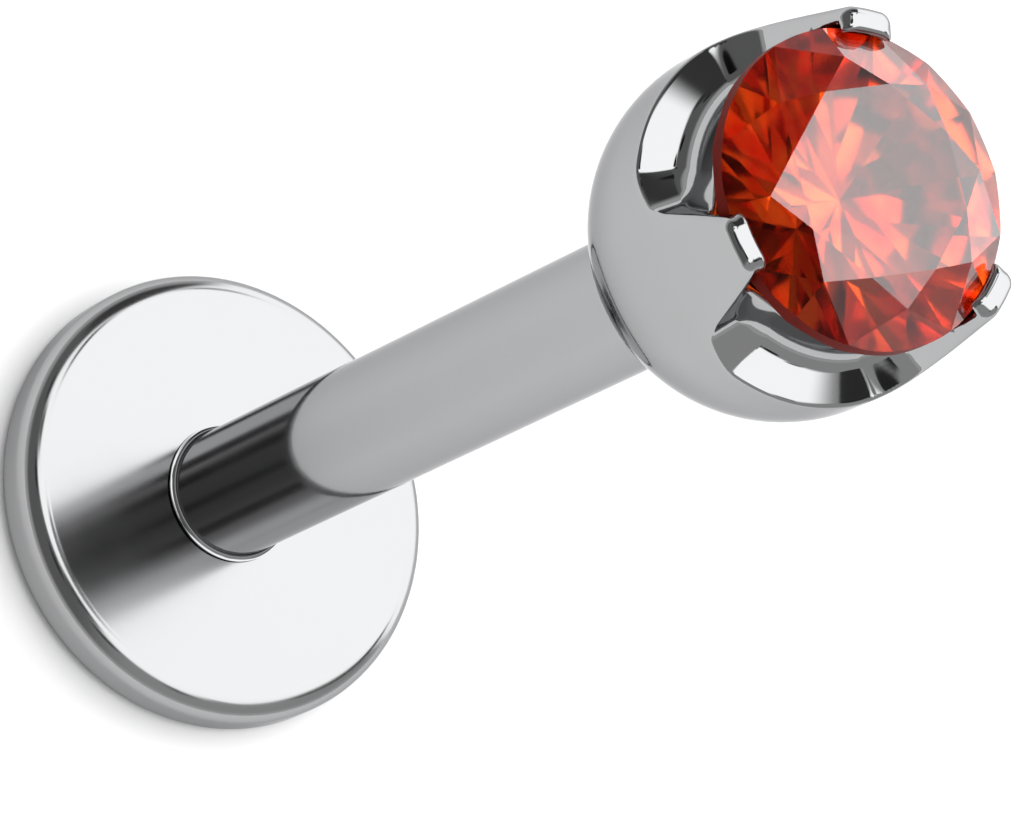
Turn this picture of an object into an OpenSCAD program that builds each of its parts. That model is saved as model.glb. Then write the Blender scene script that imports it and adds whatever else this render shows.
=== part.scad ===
// Labret stud: a flat disc on a straight round post, and a claw-set stone
// in a ball-shaped head that plugs into the top of the post.
// It stands on its disc. Z runs up the post, Z = 0 is the underside of the disc.

/* [Disc] */
// Diameter of the back disc
disc_d = 4.25; // [3.5:0.05:6]
// Thickness of the back disc
disc_t = 0.58; // [0.5:0.01:0.9]
// Rounding of the disc's shoulder, on the post's side
shoulder_r = 0.22; // [0.1:0.01:0.28]
// Rounding of the disc's edge at the underside
under_r = 0.16; // [0.05:0.01:0.2]

/* [Post] */
// Diameter of the post, its gauge
post_d = 1.2; // [1:0.05:1.6]
// Bare length of the post, from the disc's face to the head
post_len = 7.7; // [5:0.1:12]
// Fillet at the foot of the post
foot_r = 0.05; // [0.03:0.01:0.12]
// Diameter of the spigot that is pressed into the disc
spigot_d = 0.8; // [0.5:0.05:0.9]
// Length of the spigot
spigot_len = 0.36; // [0.2:0.01:0.4]

/* [Head] */
// Diameter of the head
head_d = 3.25; // [3.1:0.05:3.6]
// Height of the claws above the widest ring of the ball
claw_h = 1.36; // [1.34:0.01:1.6]
// Width of a claw at its tip
claw_w = 0.44; // [0.2:0.01:0.5]
// Slope of a claw's sides, in degrees from upright
claw_flare = 20.5; // [10:0.5:26]
// Wall of a claw beside the stone, at its tip
claw_wall = 0.125; // [0.11:0.005:0.2]
// Step from the head's wall in to the claws
claw_step = 0.005; // [0.002:0.001:0.02]
// Rounding of a claw's tip, on the outside and at both sides
tip_r = 0.09; // [0.05:0.01:0.15]
// Reach of a claw's lip over the edge of the stone
lip_over = 0.06; // [0.04:0.01:0.12]
// Number of claws
claw_count = 3; // [3, 4]
// Height of the scallops' edge above the widest ring of the ball
scallop_z = 0.28; // [0.1:0.01:0.35]
// Slope of the scallops' floor, which rises towards the stone
floor_a = 20; // [8:1:24]
// Depth of the scallops into the wall of the head
cove_in = 0.42; // [0.3:0.01:0.44]
// Fillet between the scallops' floor and the wall beside the stone
nook_r = 0.14; // [0.1:0.01:0.3]
// Fillet at the foot of the claws' sides
side_r = 0.5; // [0.4:0.01:0.6]
// Diameter of the plug that holds the head in the post
plug_d = 0.8; // [0.5:0.05:0.85]
// Length of the plug
plug_len = 2; // [1:0.1:3]

/* [Stone] */
// Diameter of the stone
stone_d = 2.76; // [2.5:0.02:2.78]
// Height of the girdle's lower edge above the widest ring of the ball
girdle_z = 1.05; // [0.97:0.01:1.06]
// Thickness of the girdle
girdle_t = 0.16; // [0.08:0.01:0.18]
// Height of the crown above the girdle
crown_h = 0.26; // [0.2:0.01:0.4]
// Width of the table, over its corners
table_d = 1.72; // [1.4:0.02:1.8]
// Distance of the star facets' points from the stone's axis
star_r = 1.08; // [1.02:0.01:1.14]
// Slope of the pavilion, in degrees
pavilion_a = 41; // [38:0.5:43]
// Turn of the stone about its own axis, in degrees
stone_turn = 31; // [0:1:45]

/* [Fit] */
// Gap left between pieces that meet
gap = 0.02; // [0.01:0.005:0.03]

/* [Hidden] */
$fn = 96;
// how far a cutter runs past the face that it opens
past = 0.5;
disc_r = disc_d / 2;
post_r = post_d / 2;
head_r = head_d / 2;
stone_r = stone_d / 2;
spigot_r = spigot_d / 2;
plug_r = plug_d / 2;
// top of the post, and the ring where the ball is widest
post_top = disc_t + post_len;
ball_drop = sqrt(head_r * head_r - post_r * post_r);
head_z = post_top + gap + ball_drop;
claw_top = head_z + claw_h;
// the scallops' inner wall, and the middle of the fillet at its foot
cove_at = head_r - cove_in;
nook_at = cove_at + nook_r;
nook_z = head_z + scallop_z + (head_r - nook_at) * tan(floor_a) + nook_r / cos(floor_a);
// a claw's half width at its tip, where its flared side would reach the
// scallops' edge, and where the round foot's own centre and upper end are
claw_rise = claw_h - scallop_z;
claw_root = 0.2;
claw_out = head_r - claw_step;
// the claws' outer face leans, so that it ends at their wall beside the stone's bore
bore_r = stone_r + gap;
claw_lean = atan((claw_out - bore_r - claw_wall) / claw_rise);
foot_at = claw_w / 2 + claw_rise * tan(claw_flare);
fillet_at = foot_at + side_r * (1 - sin(claw_flare)) / cos(claw_flare);
side_z = side_r * (1 + sin(claw_flare));
side_at = foot_at - side_z * tan(claw_flare);
first_claw = -90;
// the middles of the rounds at a claw's tip, which touch the leaning outer face
// and the flared sides
tip_v = claw_rise - tip_r;
tip_x = claw_out - tip_v * tan(claw_lean) - tip_r / cos(claw_lean);
tip_u = claw_w / 2 + tip_r * tan(claw_flare) - tip_r / cos(claw_flare);
// heights in the stone
girdle_low = head_z + girdle_z;
girdle_top = girdle_low + girdle_t;
table_z = girdle_top + crown_h;
table_r = table_d / 2;
culet_z = girdle_low - stone_r * tan(pavilion_a);
// eight mains around, with stars and halves between them
mains = 8;
girdle_sides = 48;
main_step = 360 / mains;
half_step = main_step / 2;
// slopes of the crown's facets, worked out so that they meet at the stars' points
bezel_a = atan(crown_h / (stone_r - table_r));
star_z = table_z - (star_r * cos(half_step) - table_r) * tan(bezel_a);
crown_half_a = atan((star_z - girdle_top) / ((stone_r - star_r) * cos(half_step / 2)));
// the pavilion's lower halves end this far down towards the culet
lower_share = 0.76;
lower_r = stone_r * (1 - lower_share);
lower_z = girdle_low - (stone_r - lower_r * cos(half_step)) * tan(pavilion_a);
pavilion_half_a = atan((girdle_low - lower_z) / ((stone_r - lower_r) * cos(half_step / 2)));
// the seat under the stone, a cone that runs the gap below the pavilion's ridges,
// with a relief for the culet
ridge_drop = lower_r * (1 - cos(half_step)) * tan(pavilion_a);
seat_drop = gap / cos(pavilion_a) + ridge_drop;
relief_r = 0.3;
relief_z = girdle_low - seat_drop - (stone_r - relief_r) * tan(pavilion_a);
relief_floor = culet_z - gap;
lip_r = stone_r - lip_over;
lip_z = girdle_top + lip_over * tan(crown_half_a) + gap;

// A quarter of waste, to round an outer corner of radius r at the origin
module corner(r) {
    difference() {
        square(r);
        circle(r);
    }
}

// The quarter that such a corner keeps
module quarter(r) {
    intersection() {
        square(r);
        circle(r);
    }
}

module disc() {
    color("gainsboro")
    difference() {
        rotate_extrude()
        difference() {
            square([disc_r, disc_t]);
            translate([disc_r - shoulder_r, disc_t - shoulder_r])
                corner(shoulder_r);
            translate([disc_r - under_r, under_r])
                mirror([0, 1])
                corner(under_r);
        }
        translate([0, 0, disc_t - spigot_len - gap])
            cylinder(r = spigot_r + gap, h = spigot_len + gap + past);
    }
}

module post() {
    color("silver")
    difference() {
        union() {
            translate([0, 0, disc_t - spigot_len])
                cylinder(r = spigot_r, h = spigot_len + 2 * gap);
            translate([0, 0, disc_t + gap])
                cylinder(r = post_r, h = post_len - gap);
            foot();
        }
        translate([0, 0, post_top - plug_len - gap])
            cylinder(r = plug_r + gap, h = plug_len + gap + past);
    }
}

// The small fillet around the foot of the post
module foot() {
    translate([0, 0, disc_t + gap])
    rotate_extrude()
    translate([post_r - past / 2, 0])
    difference() {
        square([past / 2 + foot_r, foot_r]);
        translate([past / 2 + foot_r, foot_r])
            circle(foot_r);
    }
}

// The ball, the wall above it and the plug, before anything is cut
module head_blank() {
    rotate_extrude()
    union() {
        intersection() {
            translate([0, head_z]) circle(head_r);
            translate([0, head_z - ball_drop]) square([head_r, ball_drop]);
        }
        translate([0, head_z]) square([head_r, claw_h - tip_r]);
        translate([0, post_top - plug_len]) square([plug_r, plug_len + past]);
    }
}

// Room for the stone: a conical seat, the bore at the girdle and the claws' lips
module seat() {
    rotate_extrude()
    polygon([
        [0, relief_floor],
        [relief_r, relief_floor],
        [relief_r, relief_z],
        [bore_r, girdle_low - seat_drop + gap * tan(pavilion_a)],
        [bore_r, girdle_top + gap],
        [lip_r, lip_z],
        [lip_r, claw_top + past],
        [0, claw_top + past]
    ]);
}

// What a cutter takes off on its way round the head
module cove_ring() {
    rotate_extrude()
    union() {
        translate([nook_at, nook_z]) circle(nook_r);
        polygon([
            [nook_at, nook_z],
            [nook_at - nook_r * sin(floor_a), nook_z - nook_r * cos(floor_a)],
            [head_r + past, head_z + scallop_z - past * tan(floor_a)],
            [head_r + past, claw_top + past],
            [cove_at, claw_top + past],
            [cove_at, nook_z]
        ]);
    }
}

// A claw seen from the side: straight flared sides on round feet, drawn with
// the scallops' edge at zero height
module claw_side() {
    difference() {
        polygon([
            [-fillet_at, -claw_root],
            [fillet_at, -claw_root],
            [fillet_at, 0],
            [side_at, side_z],
            [tip_u + tip_r * cos(claw_flare), tip_v + tip_r * sin(claw_flare)],
            [tip_u, tip_v],
            [tip_u, claw_rise],
            [-tip_u, claw_rise],
            [-tip_u, tip_v],
            [-tip_u - tip_r * cos(claw_flare), tip_v + tip_r * sin(claw_flare)],
            [-side_at, side_z],
            [-fillet_at, 0]
        ]);
        for (side = [-1, 1])
            translate([side * fillet_at, side_r]) circle(side_r);
    }
    translate([tip_u, tip_v]) quarter(tip_r);
    translate([-tip_u, tip_v]) mirror([1, 0]) quarter(tip_r);
}

// A claw seen in section from the head's axis outwards, leaning in at the top
module claw_section() {
    polygon([
        [0, -claw_root],
        [claw_out, -claw_root],
        [claw_out, 0],
        [tip_x + tip_r * cos(claw_lean), tip_v + tip_r * sin(claw_lean)],
        [tip_x, tip_v],
        [tip_x, claw_rise],
        [0, claw_rise]
    ]);
    translate([tip_x, tip_v]) quarter(tip_r);
}

// One claw on the +X side, rooted in the head
module claw() {
    translate([0, 0, head_z + scallop_z])
    intersection() {
        rotate_extrude() claw_section();
        rotate([90, 0, 90])
            linear_extrude(2 * head_r)
            claw_side();
    }
}

module setting() {
    color("darkgray")
    difference() {
        union() {
            difference() {
                head_blank();
                cove_ring();
            }
            for (i = [0 : claw_count - 1])
                rotate([0, 0, first_claw + i * 360 / claw_count])
                    claw();
        }
        seat();
    }
}

// A point at a distance from the axis, at an angle and a height
function at(r, turn, z) = [r * cos(turn), r * sin(turn), z];
// how far the girdle bulges past the middle of its half facet
function bulge(turn) =
    stone_r * (cos(turn % half_step - half_step / 2) - cos(half_step / 2));

// The stone is the convex body around the corners of its facets
module stone() {
    stars = [for (i = [0 : mains - 1]) i * main_step];
    girdle = [for (i = [0 : girdle_sides - 1]) i * 360 / girdle_sides];
    corners = concat(
        [for (t = stars) at(table_r, t + half_step, table_z)],
        [for (t = stars) at(star_r, t, star_z)],
        [for (t = girdle) at(stone_r, t, girdle_top - bulge(t) * tan(crown_half_a))],
        [for (t = girdle) at(stone_r, t, girdle_low + bulge(t) * tan(pavilion_half_a))],
        [for (t = stars) at(lower_r, t, lower_z)],
        [[0, 0, culet_z]]
    );
    color("orangered")
    rotate([0, 0, stone_turn])
    hull()
        polyhedron(corners, [[for (i = [0 : len(corners) - 1]) i]]);
}

disc();
post();
setting();
stone();
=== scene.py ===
import math
import bpy
import numpy as np
from mathutils import Matrix, Vector


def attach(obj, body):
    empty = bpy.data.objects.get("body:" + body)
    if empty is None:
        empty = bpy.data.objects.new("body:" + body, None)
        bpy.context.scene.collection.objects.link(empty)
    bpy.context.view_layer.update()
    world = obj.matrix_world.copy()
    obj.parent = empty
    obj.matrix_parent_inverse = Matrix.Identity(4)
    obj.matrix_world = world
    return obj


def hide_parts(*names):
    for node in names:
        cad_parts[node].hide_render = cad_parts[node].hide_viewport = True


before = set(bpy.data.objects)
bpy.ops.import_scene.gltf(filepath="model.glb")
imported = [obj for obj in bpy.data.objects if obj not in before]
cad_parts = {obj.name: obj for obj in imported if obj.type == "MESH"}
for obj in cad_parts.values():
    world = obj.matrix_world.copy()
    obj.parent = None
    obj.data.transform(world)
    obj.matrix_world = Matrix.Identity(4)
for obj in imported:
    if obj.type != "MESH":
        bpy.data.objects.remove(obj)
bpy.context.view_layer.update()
mm = 0.001
scene = bpy.context.scene
print("frame loaded")

# the sizes that the pieces share, in mm, as the part's source has them
studSizes = {
    "postRadius": 0.6,
    "postLength": 7.7,
    "spigotRadius": 0.4,
    "spigotLength": 0.36,
    "plugRadius": 0.4,
    "plugLength": 2.0,
    "discThickness": 0.58,
    "headRadius": 1.625,
    "gap": 0.02,
}
gap = studSizes["gap"]
postTop = studSizes["discThickness"] + studSizes["postLength"]
ballDrop = math.sqrt(studSizes["headRadius"] ** 2 - studSizes["postRadius"] ** 2)
headZ = postTop + gap + ballDrop

# the camera, fitted to the bar's edges, the disc and the head as the photo shows them
cameraPlan = {
    "lens": 301.32,
    "sensor": 36.0,
    "right": (0.4254, 0.7372, 0.5249),
    "up": (-0.9050, 0.3465, 0.2467),
    "back": (0.0, -0.5800, 0.8146),
    "along": (2.9003, 0.8212, 79.4045),      # mm along right, up and back
    "clipStart": 0.005,      # m
    "clipEnd": 20.0,
}


def addCamera(plan):
    right, up, back = (Vector(plan[k]).normalized() for k in ("right", "up", "back"))
    place = (right * plan["along"][0] + up * plan["along"][1] + back * plan["along"][2]) * mm
    lens = bpy.data.cameras.new("photoCamera")
    lens.sensor_width = plan["sensor"]
    lens.lens = plan["lens"]
    lens.clip_start = plan["clipStart"]
    lens.clip_end = plan["clipEnd"]
    camera = bpy.data.objects.new("photoCamera", lens)
    turn = Matrix((right, up, back)).transposed().to_4x4()
    camera.matrix_world = Matrix.Translation(place) @ turn
    scene.collection.objects.link(camera)
    scene.camera = camera


addCamera(cameraPlan)
print("camera set")


# small helpers for node trees
def addNode(tree, kind, place=(0, 0), **values):
    node = tree.nodes.new(kind)
    node.location = place
    for key, value in values.items():
        setattr(node, key, value)
    return node


def join(tree, source, target):
    tree.links.new(source, target)


def mathNode(tree, operation, first, second=None, third=None, clamp=False):
    node = addNode(tree, "ShaderNodeMath", operation=operation, use_clamp=clamp)
    for socket, value in zip(node.inputs, (first, second, third)):
        if value is None:
            continue
        if isinstance(value, (int, float)):
            socket.default_value = value
        else:
            join(tree, value, socket)
    return node.outputs[0]


# the light: a bright tent overhead and behind, a dark side where the camera stands
tentPlan = {
    "bright": 3.1,
    "front": 0.28,           # the low side where the camera stands
    "black": 0.1,            # what it has on its left
    "blackTurn": 136.0,      # each part of the tent has the middle of its turn, degrees from +X,
    "blackHalf": 21.0,       # half its width
    "blackSoft": 10.0,       # and the width of its soft edge
    "grey": 0.7,             # and on its right
    "backTurn": 90.0,        # the bright side behind the stud
    "backHalf": 34.0,
    "backSoft": 6.0,
    "greyTurn": 0.0,
    "greyHalf": 55.0,
    "greySoft": 40.0,
    "darkTop": 49.0,         # upper edge of the dark side near the bright one, degrees above the floor
    "topSoft": 7.0,
    "riseFrom": 70.0,        # from there on round to the front, that edge climbs
    "riseTo": 170.0,
    "frontTop": 75.0,
    "skyLight": 1.8,         # soft light from above that reaches the floor alone
    "skySpread": 120.0,
    "sill": 0.9,             # a paler strip all round, just above the floor
    "sillTop": 16.0,
    "sillSoft": 16.0,
    "cardSoft": 2.5,
    # dark round cards in the tent, which the stone's facets mirror: degrees above
    # the floor and from +X, half the card's size, its own light
    "cards": (
        (59.0, -174.0, 6.0, 0.01),
        (43.0, -178.0, 5.0, 0.01),
        (55.0, -144.0, 6.0, 0.01),
        (61.0, -97.0, 6.0, 0.01),
        (74.0, -64.0, 8.0, 0.01),
        (58.0, -48.0, 6.0, 0.02),
        (29.0, 158.0, 4.0, 0.03),
        (47.0, -10.0, 5.0, 0.05),
        (50.0, 14.0, 4.0, 0.5),
        (57.0, 131.0, 5.0, 0.02),
        (38.0, 116.0, 4.5, 0.4),
        (42.0, 43.0, 5.0, 0.07),
        (36.0, 50.0, 5.5, 0.07),
        (31.0, 56.0, 6.5, 0.07),
    ),
}


# a soft change of a value as another one passes from low to high
def softStep(tree, value, low, high, toLow=0.0, toHigh=1.0):
    step = addNode(tree, "ShaderNodeMapRange", interpolation_type="SMOOTHSTEP")
    join(tree, value, step.inputs["Value"])
    for name, number in (("From Min", low), ("From Max", high), ("To Min", toLow), ("To Max", toHigh)):
        step.inputs[name].default_value = number
    return step.outputs[0]


# the same about a middle: the change takes the width soft
def softEdge(tree, value, middle, soft, toLow=0.0, toHigh=1.0):
    return softStep(tree, value, middle - soft / 2, middle + soft / 2, toLow, toHigh)


# degrees between a turn and a middle, either way round
def turnAway(tree, turn, middle):
    away = mathNode(tree, "WRAP", mathNode(tree, "SUBTRACT", turn, middle), 180.0, -180.0)
    return mathNode(tree, "ABSOLUTE", away)


def buildTent(plan):
    world = bpy.data.worlds.new("tent")
    scene.world = world
    world.use_nodes = True
    tree = world.node_tree
    tree.nodes.clear()
    out = addNode(tree, "ShaderNodeOutputWorld")
    light = addNode(tree, "ShaderNodeBackground")
    where = addNode(tree, "ShaderNodeTexCoord")
    parts = addNode(tree, "ShaderNodeSeparateXYZ")
    join(tree, where.outputs["Generated"], parts.inputs[0])
    x, y, z = parts.outputs
    height = mathNode(tree, "DEGREES", mathNode(tree, "ARCSINE", z))
    turn = mathNode(tree, "DEGREES", mathNode(tree, "ARCTAN2", y, x))
    back = turnAway(tree, turn, plan["backTurn"])
    behind = softEdge(tree, back, plan["backHalf"], plan["backSoft"], 1.0, 0.0)
    edge = softStep(tree, back, plan["riseFrom"], plan["riseTo"], plan["darkTop"], plan["frontTop"])
    over = mathNode(tree, "SUBTRACT", height, edge)
    top = softEdge(tree, over, 0.0, plan["topSoft"])
    bright = mathNode(tree, "MAXIMUM", behind, top)
    side = turnAway(tree, turn, plan["greyTurn"])
    low = softEdge(tree, side, plan["greyHalf"], plan["greySoft"], plan["grey"], plan["front"])
    side = turnAway(tree, turn, plan["blackTurn"])
    dark = softEdge(tree, side, plan["blackHalf"], plan["blackSoft"], plan["black"] / plan["front"], 1.0)
    low = mathNode(tree, "MULTIPLY", low, dark)
    sill = softEdge(tree, height, plan["sillTop"], plan["sillSoft"], plan["sill"], 0.0)
    low = mathNode(tree, "MAXIMUM", low, sill)
    lift = mathNode(tree, "SUBTRACT", plan["bright"], low)
    strength = mathNode(tree, "ADD", low, mathNode(tree, "MULTIPLY", bright, lift))
    for cardHeight, cardTurn, half, value in plan["cards"]:
        up, around = math.radians(cardHeight), math.radians(cardTurn)
        flat = math.cos(up)
        spot = addNode(tree, "ShaderNodeVectorMath", operation="DOT_PRODUCT")
        join(tree, where.outputs["Generated"], spot.inputs[0])
        spot.inputs[1].default_value = (flat * math.cos(around), flat * math.sin(around), math.sin(up))
        away = mathNode(tree, "DEGREES", mathNode(tree, "ARCCOSINE", spot.outputs["Value"]))
        card = softEdge(tree, away, half, plan["cardSoft"], value, plan["bright"])
        strength = mathNode(tree, "MINIMUM", strength, card)
    join(tree, strength, light.inputs["Strength"])
    join(tree, light.outputs[0], out.inputs["Surface"])
    sky = bpy.data.lights.new("skyLight", "SUN")
    sky.energy = plan["skyLight"]
    sky.angle = math.radians(plan["skySpread"])
    lamp = bpy.data.objects.new("skyLight", sky)
    lamp.visible_glossy = False
    lamp.visible_transmission = False
    scene.collection.objects.link(lamp)


buildTent(tentPlan)

floorPlan = {
    "half": 1.5,             # m
    "colour": (0.79, 0.79, 0.79),
    "roughness": 0.8,
}


def newMaterial(name):
    material = bpy.data.materials.new(name)
    material.use_nodes = True
    tree = material.node_tree
    return material, tree, tree.nodes["Principled BSDF"]


def floorMaterial(plan):
    material, _, shader = newMaterial("paleFloor")
    shader.inputs["Roughness"].default_value = plan["roughness"]
    shader.inputs["Specular IOR Level"].default_value = 0.0
    shader.inputs["Base Color"].default_value = (*plan["colour"], 1.0)
    return material


def layFloor(plan):
    half = plan["half"]
    mesh = bpy.data.meshes.new("floor")
    corners = [(-half, -half, 0), (half, -half, 0), (half, half, 0), (-half, half, 0)]
    mesh.from_pydata(corners, [], [(0, 1, 2, 3)])
    floor = bpy.data.objects.new("floor", mesh)
    mesh.materials.append(floorMaterial(plan))
    scene.collection.objects.link(floor)


layFloor(floorPlan)
print("light and floor set")


# steel: a mirror whose gloss varies a little in clouds, with a fine grain
steelPlan = {
    "colour": (0.36, 0.362, 0.366),
    "edge": (0.6, 0.6, 0.61),
    "roughLow": 0.035,
    "roughHigh": 0.075,
    "cloudScale": 0.9,       # per mm
    "cloudDetail": 4.0,
    "cloudLow": 0.3,         # the share of cloud at which the gloss starts to change
    "cloudHigh": 0.7,
    "grainScale": 26.0,      # per mm
    "grainDetail": 3.0,
    "bump": 0.00000004,      # m
}
# what the disc's satin has otherwise
satinPlan = {
    "roughLow": 0.13,
    "roughHigh": 0.18,
    "grainScale": 40.0,
    "bump": 0.00000002,
}


# the place on the object, in mm
def placeInMm(tree):
    where = addNode(tree, "ShaderNodeTexCoord", (-900, 0))
    scale = addNode(tree, "ShaderNodeMapping", (-720, 0))
    scale.inputs["Scale"].default_value = (1 / mm, 1 / mm, 1 / mm)
    join(tree, where.outputs["Object"], scale.inputs["Vector"])
    return scale.outputs[0]


def noise(tree, where, spot, scale, detail=2.0):
    cloud = addNode(tree, "ShaderNodeTexNoise", spot)
    cloud.inputs["Scale"].default_value = scale
    cloud.inputs["Detail"].default_value = detail
    join(tree, where, cloud.inputs["Vector"])
    return cloud.outputs["Fac"]


# a colour between two, by a share
def mixColours(tree, share, first, second):
    colour = addNode(tree, "ShaderNodeMix", (-300, 120), data_type="RGBA")
    join(tree, share, colour.inputs["Factor"])
    colour.inputs["A"].default_value = (*first, 1.0)
    colour.inputs["B"].default_value = (*second, 1.0)
    return colour.outputs["Result"]


def polishedSteel(plan, name):
    material, tree, shader = newMaterial(name)
    shader.inputs["Metallic"].default_value = 1.0
    shader.inputs["Base Color"].default_value = (*plan["colour"], 1.0)
    shader.inputs["Specular Tint"].default_value = (*plan["edge"], 1.0)
    where = placeInMm(tree)
    cloud = noise(tree, where, (-520, 120), plan["cloudScale"], plan["cloudDetail"])
    rough = addNode(tree, "ShaderNodeMapRange", (-300, 120))
    join(tree, cloud, rough.inputs["Value"])
    rough.inputs["From Min"].default_value = plan["cloudLow"]
    rough.inputs["From Max"].default_value = plan["cloudHigh"]
    rough.inputs["To Min"].default_value = plan["roughLow"]
    rough.inputs["To Max"].default_value = plan["roughHigh"]
    join(tree, rough.outputs[0], shader.inputs["Roughness"])
    grain = noise(tree, where, (-520, -160), plan["grainScale"], plan["grainDetail"])
    bump = addNode(tree, "ShaderNodeBump", (-300, -160))
    bump.inputs["Distance"].default_value = plan["bump"]
    join(tree, grain, bump.inputs["Height"])
    join(tree, bump.outputs[0], shader.inputs["Normal"])
    return material


# the stone: clear and orange-red, with clouds of a deeper red, painted shade deepening its -X side, and
# matt at its girdle
stonePlan = {
    "pale": (1.0, 0.25, 0.03),
    "deep": (0.72, 0.03, 0.004),
    "index": 2.15,
    "cloudScale": 2.2,       # per mm
    "cloudLow": 0.42,
    "cloudHigh": 0.66,
    "paintedShadeFrom": -0.35,       # painted shade: from there to the next entry, in mm along X, the colour deepens, a darker -X side put into the stone's colour
    "paintedShadeTo": -1.0,
    "paintedShadeShare": 0.25,
    "absorb": (1.0, 0.45, 0.2),
    "density": 480.0,        # per m
    "roughness": 0.07,
}
rimPlan = {
    "colour": (0.14, 0.006, 0.002),
    "darkShare": 0.5,        # of that colour where the rim is darkest
    "cloudScale": 9.0,       # per mm
    "roughness": 0.5,
    "specular": 0.04,
}


def clearStone(plan):
    material, tree, shader = newMaterial("clearStone")
    shader.inputs["Roughness"].default_value = plan["roughness"]
    shader.inputs["IOR"].default_value = plan["index"]
    shader.inputs["Transmission Weight"].default_value = 1.0
    where = placeInMm(tree)
    cloud = noise(tree, where, (-520, 120), plan["cloudScale"])
    mottled = softStep(tree, cloud, plan["cloudLow"], plan["cloudHigh"])
    # painted shade: the colour deepens towards -X, a darker side of the stone put into its colour
    across = addNode(tree, "ShaderNodeSeparateXYZ", (-520, -120))
    join(tree, where, across.inputs[0])
    left = mathNode(tree, "MULTIPLY", across.outputs[0], -1.0)
    paintedShade = softStep(tree, left, -plan["paintedShadeFrom"], -plan["paintedShadeTo"], 0.0, plan["paintedShadeShare"])
    share = mathNode(tree, "ADD", mottled, paintedShade, clamp=True)
    join(tree, mixColours(tree, share, plan["pale"], plan["deep"]), shader.inputs["Base Color"])
    absorb = addNode(tree, "ShaderNodeVolumeAbsorption", (0, -300))
    absorb.inputs["Color"].default_value = (*plan["absorb"], 1.0)
    absorb.inputs["Density"].default_value = plan["density"]
    join(tree, absorb.outputs[0], tree.nodes["Material Output"].inputs["Volume"])
    return material


def frostedRim(plan):
    material, tree, shader = newMaterial("frostedRim")
    shader.inputs["Roughness"].default_value = plan["roughness"]
    shader.inputs["Specular IOR Level"].default_value = plan["specular"]
    cloud = noise(tree, placeInMm(tree), (-520, 120), plan["cloudScale"])
    dark = [plan["darkShare"] * part for part in plan["colour"]]
    join(tree, mixColours(tree, cloud, plan["colour"], dark), shader.inputs["Base Color"])
    return material


steel = polishedSteel(steelPlan, "mirrorSteel")
satin = polishedSteel(dict(steelPlan, **satinPlan), "satinSteel")
orangeStone = clearStone(stonePlan)
stoneRim = frostedRim(rimPlan)
print("materials made")


# turned pieces: a profile of lines and arcs, in mm, spun around Z with exact normals
def line(start, end, steps=1):
    (r0, z0), (r1, z1) = start, end
    length = math.hypot(r1 - r0, z1 - z0)
    normal = ((z1 - z0) / length, -(r1 - r0) / length)
    shares = [i / steps for i in range(steps + 1)]
    return [((r0 + (r1 - r0) * share, z0 + (z1 - z0) * share), normal) for share in shares]


def arc(centre, radius, fromAngle, toAngle, steps, hollow=False):
    points = []
    for i in range(steps + 1):
        a = math.radians(fromAngle + (toAngle - fromAngle) * i / steps)
        n = (math.cos(a), math.sin(a))
        place = (centre[0] + radius * n[0], centre[1] + radius * n[1])
        points.append((place, (-n[0], -n[1]) if hollow else n))
    return points


def turnedPiece(name, runs, turnSteps):
    points = [runs[0][0][0]]
    onAxis = 1e-9
    for run in runs:
        points += [place for place, _ in run[1:]]
    rings = []
    vertices = []
    for r, z in points:
        if r < onAxis:
            rings.append([len(vertices)] * turnSteps)
            vertices.append((0.0, 0.0, z * mm))
            continue
        first = len(vertices)
        rings.append([first + i for i in range(turnSteps)])
        for i in range(turnSteps):
            a = 2 * math.pi * i / turnSteps
            vertices.append((r * math.cos(a) * mm, r * math.sin(a) * mm, z * mm))
    faces = []
    normals = []
    at = 0
    for run in runs:
        for (_, n0), (_, n1) in zip(run, run[1:]):
            for i in range(turnSteps):
                j = (i + 1) % turnSteps
                low, high = rings[at], rings[at + 1]
                corners = [(low[i], i, n0), (low[j], i + 1, n0), (high[j], i + 1, n1), (high[i], i, n1)]
                seen = set()
                face = []
                for vertex, step, (nr, nz) in corners:
                    if vertex in seen:
                        continue
                    seen.add(vertex)
                    face.append(vertex)
                    a = 2 * math.pi * step / turnSteps
                    normals.append((nr * math.cos(a), nr * math.sin(a), nz))
                faces.append(face)
            at += 1
    mesh = bpy.data.meshes.new(name)
    mesh.from_pydata(vertices, [], faces)
    mesh.update()
    mesh.shade_smooth()
    mesh.normals_split_custom_set(normals)
    piece = bpy.data.objects.new(name, mesh)
    scene.collection.objects.link(piece)
    return piece


# what each finished piece stands for, what it rides on and its materials
def finishPiece(piece, node, slotName, *materials):
    piece.data.materials.clear()
    for material in materials:
        piece.data.materials.append(material)
    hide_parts(node)
    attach(piece, "root")


discPlan = {
    "radius": 2.125,
    "shoulder": 0.22,        # rounding on the post's side
    "under": 0.16,           # rounding at the underside
    "mouth": 0.012,          # rounding of the socket's edge
    "turnSteps": 256,
}


def makeDisc(plan):
    radius, thick = plan["radius"], studSizes["discThickness"]
    shoulder, under, mouth = plan["shoulder"], plan["under"], plan["mouth"]
    socket = studSizes["spigotRadius"] + gap
    floorZ = thick - studSizes["spigotLength"] - gap
    runs = [
        line((0, 0), (radius - under, 0), 3),
        arc((radius - under, under), under, -90, 0, 12),
        line((radius, under), (radius, thick - shoulder)),
        arc((radius - shoulder, thick - shoulder), shoulder, 0, 90, 24),
        line((radius - shoulder, thick), (socket + mouth, thick), 4),
        arc((socket + mouth, thick - mouth), mouth, 90, 180, 4),
        line((socket, thick - mouth), (socket, floorZ)),
        line((socket, floorZ), (0, floorZ), 2),
    ]
    disc = turnedPiece("backDisc", runs, plan["turnSteps"])
    finishPiece(disc, "disc", "polished_steel", satin)


makeDisc(discPlan)
print("disc made")

postPlan = {
    "foot": 0.05,            # fillet on the disc
    "break": 0.008,          # rounding of the upper edge
    "turnSteps": 192,
}


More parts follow.
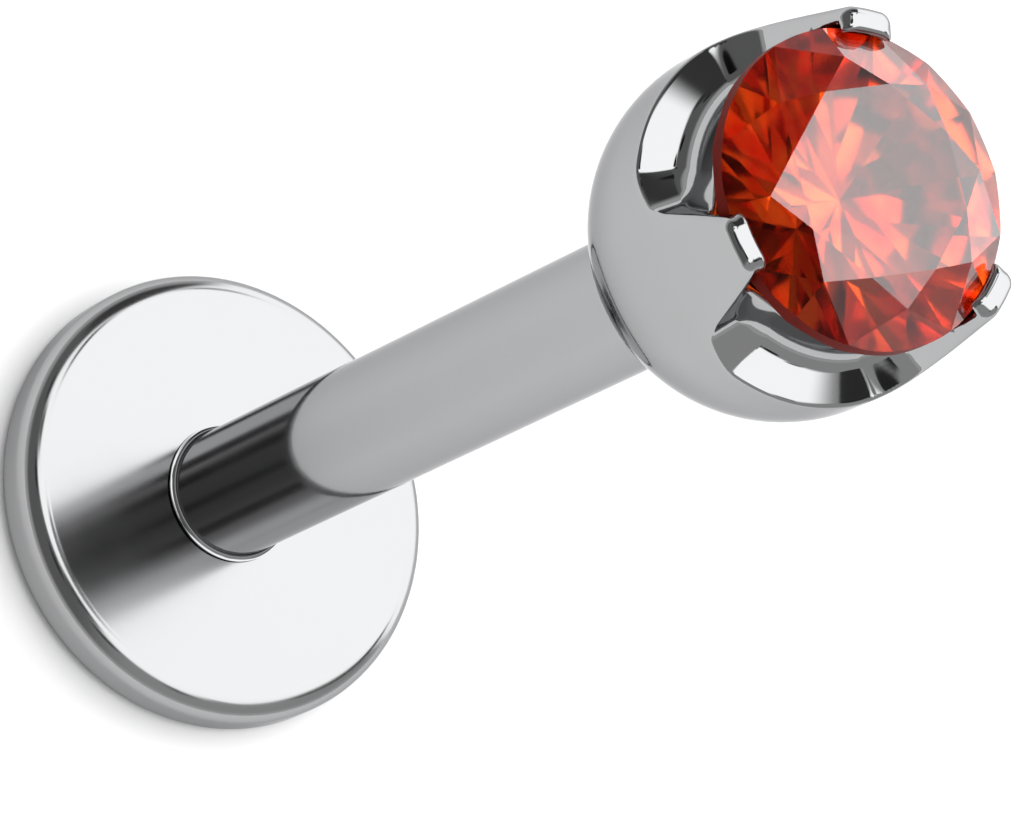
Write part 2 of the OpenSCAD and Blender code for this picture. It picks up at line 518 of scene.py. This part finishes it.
def makePost(plan):
    radius = studSizes["postRadius"]
    spigot = studSizes["spigotRadius"]
    foot, edge = plan["foot"], plan["break"]
    low = studSizes["discThickness"] - studSizes["spigotLength"]
    base = studSizes["discThickness"] + gap
    bore = studSizes["plugRadius"] + gap
    boreFloor = postTop - studSizes["plugLength"] - gap
    runs = [
        line((0, low), (spigot, low), 2),
        line((spigot, low), (spigot, base)),
        line((spigot, base), (radius + foot, base)),
        arc((radius + foot, base + foot), foot, 270, 180, 8, hollow=True),
        line((radius, base + foot), (radius, postTop - edge), 8),
        arc((radius - edge, postTop - edge), edge, 0, 90, 4),
        line((radius - edge, postTop), (bore, postTop)),
        line((bore, postTop), (bore, boreFloor), 2),
        line((bore, boreFloor), (0, boreFloor), 2),
    ]
    post = turnedPiece("roundPost", runs, plan["turnSteps"])
    finishPiece(post, "post", "polished_steel", steel)


makePost(postPlan)
print("post made")

# the stone's sizes in mm, heights above the ball's widest ring, and what follows from them
stoneShape = {
    "radius": 1.38,
    "girdleLow": 1.05,
    "girdleThick": 0.16,
    "crown": 0.26,
    "table": 0.86,
    "star": 1.08,
    "pavilion": 41.0,
    "lowerShare": 0.76,
    "mains": 8,
    "turn": 31.0,
    "girdleSteps": 16,       # between two mains' points
    "weld": 0.0006,          # mm within which the eighths' edges join
    "upright": 0.01,         # faces whose normals rise less than this are the girdle's
}


def stoneHeights(plan):
    radius, table, star = plan["radius"], plan["table"], plan["star"]
    half = math.pi / plan["mains"]
    slope = math.tan(math.radians(plan["pavilion"]))
    found = {"low": plan["girdleLow"], "top": plan["girdleLow"] + plan["girdleThick"]}
    found["table"] = found["top"] + plan["crown"]
    bezel = plan["crown"] / (radius - table)
    found["star"] = found["table"] - (star * math.cos(half) - table) * bezel
    found["crownHalf"] = (found["star"] - found["top"]) / ((radius - star) * math.cos(half / 2))
    found["culet"] = found["low"] - radius * slope
    lower = radius * (1 - plan["lowerShare"])
    found["lowerRadius"] = lower
    found["lower"] = found["low"] - (radius - lower * math.cos(half)) * slope
    found["lowerHalf"] = (found["low"] - found["lower"]) / ((radius - lower) * math.cos(half / 2))
    ridge = lower * (1 - math.cos(half)) * slope
    found["seatDrop"] = gap / math.cos(math.atan(slope)) + ridge
    found["slope"] = slope
    return found


# the setting: one claw and the scallops beside it, a third of the head, as a distance field
settingPlan = {
    "clawHeight": 1.36,
    "clawWidth": 0.44,
    "clawFlare": 20.5,
    "clawLean": 5.0,
    "leanSoft": 0.3,         # height over which the lean sets in
    "tipRound": 0.09,
    "lipOver": 0.06,
    "clawCount": 3,
    "firstClaw": -90.0,
    "scallopZ": 0.28,
    "floorSlope": 20.0,      # of the scallops' floor, rising towards the stone
    "coveIn": 0.42,
    "nookRadius": 0.14,      # between that floor and the wall beside the stone
    "footRadius": 0.5,       # at the foot of the claws' sides
    "reliefRadius": 0.3,
    "rimRound": 0.025,       # rounding of the scallops' outer edge
    "sideRound": 0.1,        # of the claws' sides at their tips
    "roundFrom": 0.35,       # heights over which the one turns into the other
    "roundTo": 1.1,
    "mitre": 0.22,           # blend between a claw's side and the scallop
    "mitreRun": 0.35,        # length over which it sets in
    "seatRound": 0.015,
    "lipRound": 0.06,        # the claws' inner edge, over the stone
    "cell": 0.018,           # mesh size, mm
    "cellMargin": 2.5,       # cells past the head
    "fieldLow": 0.12,        # the field's lower end above the ball's widest ring
    "fieldInner": 1.0,       # its inner end, from the axis
    "fieldMargin": 0.02,     # how far past both its slope still gives the normals
    "slopeStep": 0.0005,     # mm over which that slope is taken
    "slopeLeast": 0.25,      # no pull divides by less
    "pulls": 6,              # times that the points are pulled onto the surface
    "weld": 0.0006,          # mm within which the thirds' edges join
    "ballRings": 26,
    "plugBevel": 0.04,
    "neckEdge": 0.02,        # rings that keep the edges crisp where plug and ball meet
    "ballEdge": 0.01,
    "nearly": 0.001,         # mm within which a point counts as on the ball
}

stoneAt = stoneHeights(stoneShape)


# the larger or the smaller of two distances, with a rounding where they meet
def roundMax(a, b, r):
    corner = np.hypot(np.maximum(r + a, 0), np.maximum(r + b, 0))
    return np.minimum(-r, np.maximum(a, b)) + corner


def roundMin(a, b, r):
    corner = np.hypot(np.maximum(r - a, 0), np.maximum(r - b, 0))
    return np.maximum(r, np.minimum(a, b)) - corner


def easeIn(share):
    share = np.clip(share, 0, 1)
    return share ** 2 * (3 - 2 * share)


# below zero inside the metal; heights are above the ball's widest ring
def settingField(x, y, z, plan):
    r = np.hypot(x, y)
    head = studSizes["headRadius"]
    tip = plan["tipRound"]
    # the wall leans in above the scallops and is rounded at the top
    lean, soft = math.tan(math.radians(plan["clawLean"])), plan["leanSoft"]
    above = np.maximum(z - plan["scallopZ"], 0)
    inset = lean * np.where(above < soft, above ** 2 / (2 * soft), above - soft / 2)
    blank = roundMax(r - head + inset, z - plan["clawHeight"], tip)
    # the scallops' floor and the wall beside the stone, with a fillet between them
    fall = math.radians(plan["floorSlope"])
    ledge = (z - plan["scallopZ"] - (head - r) * math.tan(fall)) * math.cos(fall)
    coved = roundMin(r - (head - plan["coveIn"]), ledge, plan["nookRadius"])
    # a claw seen from the side, x being its middle plane's normal
    flare, foot = math.radians(plan["clawFlare"]), plan["footRadius"]
    rise = plan["clawHeight"] - plan["scallopZ"]
    footAt = plan["clawWidth"] / 2 + rise * math.tan(flare)
    filletAt = footAt + foot * (1 - math.sin(flare)) / math.cos(flare)
    u, v = np.abs(x), z - plan["scallopZ"]
    along = -(u - filletAt) * math.sin(flare) + (v - foot) * math.cos(flare)
    side = (u - plan["clawWidth"] / 2 - (rise - v) * math.tan(flare)) * math.cos(flare)
    flared = np.where(u < filletAt, foot - np.hypot(u - filletAt, v - foot), v)
    claw = np.where(along > 0, side, flared)
    near = easeIn((filletAt - u) / plan["mitreRun"])
    body = roundMin(coved, claw, plan["mitre"] * near)
    rising = easeIn((z - plan["roundFrom"]) / (plan["roundTo"] - plan["roundFrom"]))
    rim, flank = plan["rimRound"], plan["sideRound"]
    body = roundMax(blank, body, rim + (flank - rim) * rising)
    # room for the stone
    bore = stoneShape["radius"] + gap
    slope = stoneAt["slope"]
    seatZ = stoneAt["low"] - stoneAt["seatDrop"] - (stoneShape["radius"] - r) * slope
    cone = (seatZ - z) / math.hypot(1, slope)
    lipZ = stoneAt["top"] + plan["lipOver"] * stoneAt["crownHalf"] + gap
    lipRadius = stoneShape["radius"] - plan["lipOver"]
    lipSlope = math.atan2(lipZ - stoneAt["top"] - gap, bore - lipRadius)
    under = (z - stoneAt["top"] - gap - (bore - r) * math.tan(lipSlope)) * math.cos(lipSlope)
    below = np.maximum(r - bore, under)
    room = np.maximum(cone, np.minimum(below, r - lipRadius))
    seat, lip = plan["seatRound"], plan["lipRound"]
    return roundMax(body, -room, seat + (lip - seat) * rising)


def fieldSlope(points, plan):
    x, y, z = points.T
    step = plan["slopeStep"]
    slope = np.empty_like(points)
    slope[:, 0] = settingField(x + step, y, z, plan) - settingField(x - step, y, z, plan)
    slope[:, 1] = settingField(x, y + step, z, plan) - settingField(x, y - step, z, plan)
    slope[:, 2] = settingField(x, y, z + step, plan) - settingField(x, y, z - step, plan)
    return slope / (2 * step)


def headThird(plan):
    head, cell = studSizes["headRadius"], plan["cell"]
    third = 2 * math.pi / plan["clawCount"]
    turns = int(round(third * head / cell))
    margin = plan["cellMargin"] * cell
    radii = np.arange(plan["fieldInner"], head + margin, cell)
    heights = np.arange(plan["fieldLow"], plan["clawHeight"] + margin, cell)
    # columns run round the third, from its left border to its right one; the claw stands on +Y here
    angles = math.pi / 2 + third * (np.arange(turns + 2) / turns - 0.5)
    r, a, z = np.meshgrid(radii, angles, heights, indexing="ij")
    corners = np.stack([r * np.cos(a), r * np.sin(a), z], -1)
    field = settingField(corners[..., 0], corners[..., 1], corners[..., 2], plan)
    inside = field < 0
    # one point in each cell that the surface crosses, at the mean of its crossings
    shape = tuple(n - 1 for n in inside.shape)
    total = np.zeros(shape + (3,))
    count = np.zeros(shape)
    offsets = [(i, j, k) for i in (0, 1) for j in (0, 1) for k in (0, 1)]

    def part(grid, offset):
        i, j, k = offset
        return grid[i:i + shape[0], j:j + shape[1], k:k + shape[2]]

    for a in offsets:
        for axis in range(3):
            if a[axis]:
                continue
            b = tuple(1 if n == axis else a[n] for n in range(3))
            fieldA, fieldB = part(field, a), part(field, b)
            placeA, placeB = part(corners, a), part(corners, b)
            crossed = part(inside, a) != part(inside, b)
            share = np.where(crossed, fieldA / np.where(crossed, fieldA - fieldB, 1), 0)[..., None]
            total += np.where(crossed[..., None], placeA + share * (placeB - placeA), 0)
            count += crossed
    used = count > 0
    index = np.full(shape, -1)
    index[used] = np.arange(int(used.sum()))
    points = total[used] / count[used][:, None]
    for _ in range(plan["pulls"]):
        value = settingField(points[:, 0], points[:, 1], points[:, 2], plan)
        slope = fieldSlope(points, plan)
        points -= slope * (value / np.maximum((slope ** 2).sum(1), plan["slopeLeast"]))[:, None]
    # a face around each grid edge that the surface crosses
    faces = []
    for axis in range(3):
        first = [slice(None)] * 3
        second = [slice(None)] * 3
        first[axis] = slice(0, -1)
        second[axis] = slice(1, None)
        left, right = inside[tuple(first)], inside[tuple(second)]
        hits = np.argwhere(left != right)
        b, c = (axis + 1) % 3, (axis + 2) % 3
        good = (hits[:, b] > 0) & (hits[:, c] > 0) & (hits[:, b] < shape[b]) & (hits[:, c] < shape[c])
        good &= hits[:, 1] < (turns if axis == 1 else turns + 1)
        hits = hits[good]
        out = left[tuple(hits.T)]
        quad = []
        for db, dc in ((-1, -1), (0, -1), (0, 0), (-1, 0)):
            cellAt = hits.copy()
            cellAt[:, b] += db
            cellAt[:, c] += dc
            quad.append(index[tuple(cellAt.T)])
        quad = np.stack(quad, 1)
        quad[~out] = quad[~out][:, ::-1]
        faces.append(quad)
    faces = np.concatenate(faces)
    faces = faces[(faces >= 0).all(1)]
    return points, faces, turns, index


# the rest of the head is turned: its columns carry on from the field's two open rings
def addTurned(points, faces, column, profile, towardsField):
    columns = len(column)
    rings = []
    for r, z in profile:
        first = len(points)
        points += [(r * math.cos(a), r * math.sin(a), z) for a, _ in column]
        rings.append([first + i for i in range(columns)])
    border = [vertex for _, vertex in column]
    rings = rings + [border] if towardsField else [border] + rings
    for low, high in zip(rings, rings[1:]):
        for i in range(columns - 1):
            faces.append((low[i], low[i + 1], high[i + 1], high[i]))


# the angle and the vertex of each column on one of those rings
def fieldColumns(points, index, wall, turns):
    column = []
    for j in range(turns + 1):
        vertex = int(index[wall(j)])
        x, y, _ = points[vertex]
        column.append((math.atan2(y, x), vertex))
    return column


# a piece's slice, repeated about Z and welded
def repeatAround(source, count, weld, material, startTurn):
    tree = bpy.data.node_groups.new(source.name + "Around", "GeometryNodeTree")
    tree.interface.new_socket(name="Geometry", in_out="INPUT", socket_type="NodeSocketGeometry")
    sockets = {}
    kinds = {"Count": "Int", "Start turn": "Float", "Weld distance": "Float", "Material": "Material"}
    for name, kind in kinds.items():
        sockets[name] = tree.interface.new_socket(
            name=name, in_out="INPUT", socket_type="NodeSocket" + kind)
    tree.interface.new_socket(name="Geometry", in_out="OUTPUT", socket_type="NodeSocketGeometry")
    given = addNode(tree, "NodeGroupInput", (-900, 0))
    result = addNode(tree, "NodeGroupOutput", (900, 0))
    spots = addNode(tree, "GeometryNodePoints", (-600, 200))
    join(tree, given.outputs["Count"], spots.inputs["Count"])
    number = addNode(tree, "GeometryNodeInputIndex", (-900, -200))
    share = mathNode(tree, "DIVIDE", number.outputs[0], given.outputs["Count"])
    angle = mathNode(tree, "MULTIPLY_ADD", share, 2 * math.pi, given.outputs["Start turn"])
    turn = addNode(tree, "FunctionNodeAxisAngleToRotation", (-300, -200))
    turn.inputs["Axis"].default_value = (0.0, 0.0, 1.0)
    join(tree, angle, turn.inputs["Angle"])
    copies = addNode(tree, "GeometryNodeInstanceOnPoints", (0, 100))
    join(tree, spots.outputs[0], copies.inputs["Points"])
    join(tree, given.outputs["Geometry"], copies.inputs["Instance"])
    join(tree, turn.outputs[0], copies.inputs["Rotation"])
    real = addNode(tree, "GeometryNodeRealizeInstances", (200, 100))
    join(tree, copies.outputs[0], real.inputs[0])
    welded = addNode(tree, "GeometryNodeMergeByDistance", (400, 100))
    join(tree, real.outputs[0], welded.inputs["Geometry"])
    join(tree, given.outputs["Weld distance"], welded.inputs["Distance"])
    painted = addNode(tree, "GeometryNodeSetMaterial", (600, 100))
    join(tree, welded.outputs[0], painted.inputs["Geometry"])
    join(tree, given.outputs["Material"], painted.inputs["Material"])
    join(tree, painted.outputs[0], result.inputs[0])
    modifier = source.modifiers.new("around", "NODES")
    modifier.node_group = tree
    values = {"Count": count, "Start turn": startTurn, "Weld distance": weld, "Material": material}
    for name, value in values.items():
        modifier[sockets[name].identifier] = value
    bpy.context.view_layer.update()
    seen = source.evaluated_get(bpy.context.evaluated_depsgraph_get())
    mesh = bpy.data.meshes.new_from_object(seen)
    mesh.name = source.name
    source.modifiers.remove(modifier)
    old = source.data
    source.data = mesh
    bpy.data.meshes.remove(old)


# exact normals: the field's own slope round the claws, the sphere's on the ball
def exactNormals(mesh, plan):
    head = studSizes["headRadius"]
    count = len(mesh.vertices)
    place = np.empty(count * 3)
    mesh.vertices.foreach_get("co", place)
    place = place.reshape(-1, 3) / mm - (0, 0, headZ)
    normal = np.empty(count * 3)
    mesh.vertices.foreach_get("normal", normal)
    normal = normal.reshape(-1, 3)
    # each point as it was before its third was turned
    third = 2 * math.pi / plan["clawCount"]
    r = np.hypot(place[:, 0], place[:, 1])
    turn = np.arctan2(place[:, 1], place[:, 0]) - math.radians(plan["firstClaw"])
    whole = np.round(turn / third)
    back = -(whole * third + math.radians(plan["firstClaw"]) - math.pi / 2)
    local = place.copy()
    local[:, 0] = place[:, 0] * np.cos(back) - place[:, 1] * np.sin(back)
    local[:, 1] = place[:, 0] * np.sin(back) + place[:, 1] * np.cos(back)
    margin, nearly = plan["fieldMargin"], plan["nearly"]
    fielded = (r > plan["fieldInner"] - margin) & (place[:, 2] > plan["fieldLow"] - margin)
    slopes = fieldSlope(local[fielded], plan)
    b = back[fielded]
    normal[fielded, 0] = slopes[:, 0] * np.cos(-b) - slopes[:, 1] * np.sin(-b)
    normal[fielded, 1] = slopes[:, 0] * np.sin(-b) + slopes[:, 1] * np.cos(-b)
    normal[fielded, 2] = slopes[:, 2]
    onBall = np.abs(np.hypot(r, place[:, 2]) - head) < nearly
    onBall &= (place[:, 2] <= 0) & (r > studSizes["postRadius"] + nearly)
    normal[onBall] = place[onBall]
    normal /= np.linalg.norm(normal, axis=1)[:, None]
    mesh.normals_split_custom_set_from_vertices(normal)


def makeSetting(plan):
    points, faces, turns, index = headThird(plan)
    used = index >= 0
    points = [tuple(p) for p in points]
    faces = [tuple(int(v) for v in face) for face in faces]
    head, drop = studSizes["headRadius"], ballDrop
    outerColumn = fieldColumns(points, index, lambda j: (int(np.argmax(used[:, j, 0])), j, 0), turns)
    innerColumn = fieldColumns(points, index, lambda j: (0, j, int(np.argmax(used[0, j, :]))), turns)
    # under the field: the plug and the ball, from the plug's end up
    plug, bevel = studSizes["plugRadius"], plan["plugBevel"]
    plugLow = postTop - studSizes["plugLength"] - headZ
    reach = math.asin(drop / head)
    tilts = [-reach * (1 - i / plan["ballRings"]) for i in range(plan["ballRings"] + 1)]
    ball = [(head * math.cos(tilt), head * math.sin(tilt)) for tilt in tilts]
    below = [
        (0.0, plugLow),
        (plug - bevel, plugLow),
        (plug, plugLow + bevel),
        (plug, -drop - plan["neckEdge"]),
        (plug, -drop),
        (ball[0][0] - plan["ballEdge"], -drop),
    ] + ball
    # inside it: the end of the seat and the relief for the stone's point
    relief = plan["reliefRadius"]
    reliefZ = stoneAt["low"] - stoneAt["seatDrop"] - (stoneShape["radius"] - relief) * stoneAt["slope"]
    reliefLow = stoneAt["culet"] - gap
    inside = [(relief, reliefZ), (relief, reliefLow), (0.0, reliefLow)]
    addTurned(points, faces, outerColumn, below, True)
    addTurned(points, faces, innerColumn, inside, False)
    mesh = bpy.data.meshes.new("clawSetting")
    mesh.from_pydata([(x * mm, y * mm, (z + headZ) * mm) for x, y, z in points], [], faces)
    mesh.update()
    setting = bpy.data.objects.new("clawSetting", mesh)
    scene.collection.objects.link(setting)
    turnStart = math.radians(plan["firstClaw"] - 90)
    repeatAround(setting, plan["clawCount"], plan["weld"] * mm, steel, turnStart)
    mesh = setting.data
    mesh.validate()
    mesh.shade_smooth()
    exactNormals(mesh, plan)
    finishPiece(setting, "setting", "polished_steel", steel)
    print("setting made,", len(mesh.polygons), "faces")


makeSetting(settingPlan)


# the stone: an eighth, from the table's middle to the culet, repeated around
def makeStone(plan):
    radius, table, star = plan["radius"], plan["table"], plan["star"]
    half = math.pi / plan["mains"]
    lower = stoneAt["lowerRadius"]
    low, top, tableZ, starZ, culetZ, lowerZ = (
        headZ + stoneAt[name] for name in ("low", "top", "table", "star", "culet", "lower"))
    crownHalf, lowerHalf = stoneAt["crownHalf"], stoneAt["lowerHalf"]
    points, faces = [], []

    def spot(r, turn, z):
        points.append((r * math.cos(turn) * mm, r * math.sin(turn) * mm, z * mm))
        return len(points) - 1

    steps = plan["girdleSteps"]
    middle, culet = spot(0, 0, tableZ), spot(0, 0, culetZ)
    starAt, lowerAt = spot(star, 0, starZ), spot(lower, 0, lowerZ)
    corners = {side: spot(table, side * half, tableZ) for side in (-1, 1)}
    upperRim, lowerRim = {}, {}
    for i in range(-steps, steps + 1):
        turn = half * i / steps
        bulge = radius * (math.cos(abs(turn) - half / 2) - math.cos(half / 2))
        upperRim[i] = spot(radius, turn, top - bulge * crownHalf)
        lowerRim[i] = spot(radius, turn, low + bulge * lowerHalf)
    faces.append((middle, corners[-1], corners[1]))
    faces.append((corners[-1], starAt, corners[1]))
    faces.append((corners[-1], upperRim[-steps], starAt))
    faces.append((corners[1], starAt, upperRim[steps]))
    faces.append((starAt, *[upperRim[i] for i in range(0, steps + 1)]))
    faces.append((starAt, *[upperRim[i] for i in range(-steps, 1)]))
    faces.append((lowerAt, *[lowerRim[i] for i in range(steps, -1, -1)]))
    faces.append((lowerAt, *[lowerRim[i] for i in range(0, -steps - 1, -1)]))
    faces.append((lowerAt, culet, lowerRim[steps]))
    faces.append((lowerAt, lowerRim[-steps], culet))
    for i in range(-steps, steps):
        faces.append((lowerRim[i], lowerRim[i + 1], upperRim[i + 1], upperRim[i]))
    mesh = bpy.data.meshes.new("cutStone")
    mesh.from_pydata(points, [], faces)
    mesh.update()
    stone = bpy.data.objects.new("cutStone", mesh)
    scene.collection.objects.link(stone)
    repeatAround(stone, plan["mains"], plan["weld"] * mm, orangeStone, math.radians(plan["turn"]))
    finishPiece(stone, "stone", "orange_stone", orangeStone, stoneRim)
    for face in stone.data.polygons:
        face.material_index = int(abs(face.normal.z) < plan["upright"])
    print("stone made,", len(stone.data.polygons), "faces")


makeStone(stoneShape)

# light passes in and out of the stone many times
bouncePlan = {
    "most": 32,
    "glossy": 24,
    "through": 24,
}
scene.view_settings.view_transform = "Standard"
scene.view_settings.look = "None"
scene.cycles.max_bounces = bouncePlan["most"]
scene.cycles.glossy_bounces = bouncePlan["glossy"]
scene.cycles.transmission_bounces = bouncePlan["through"]
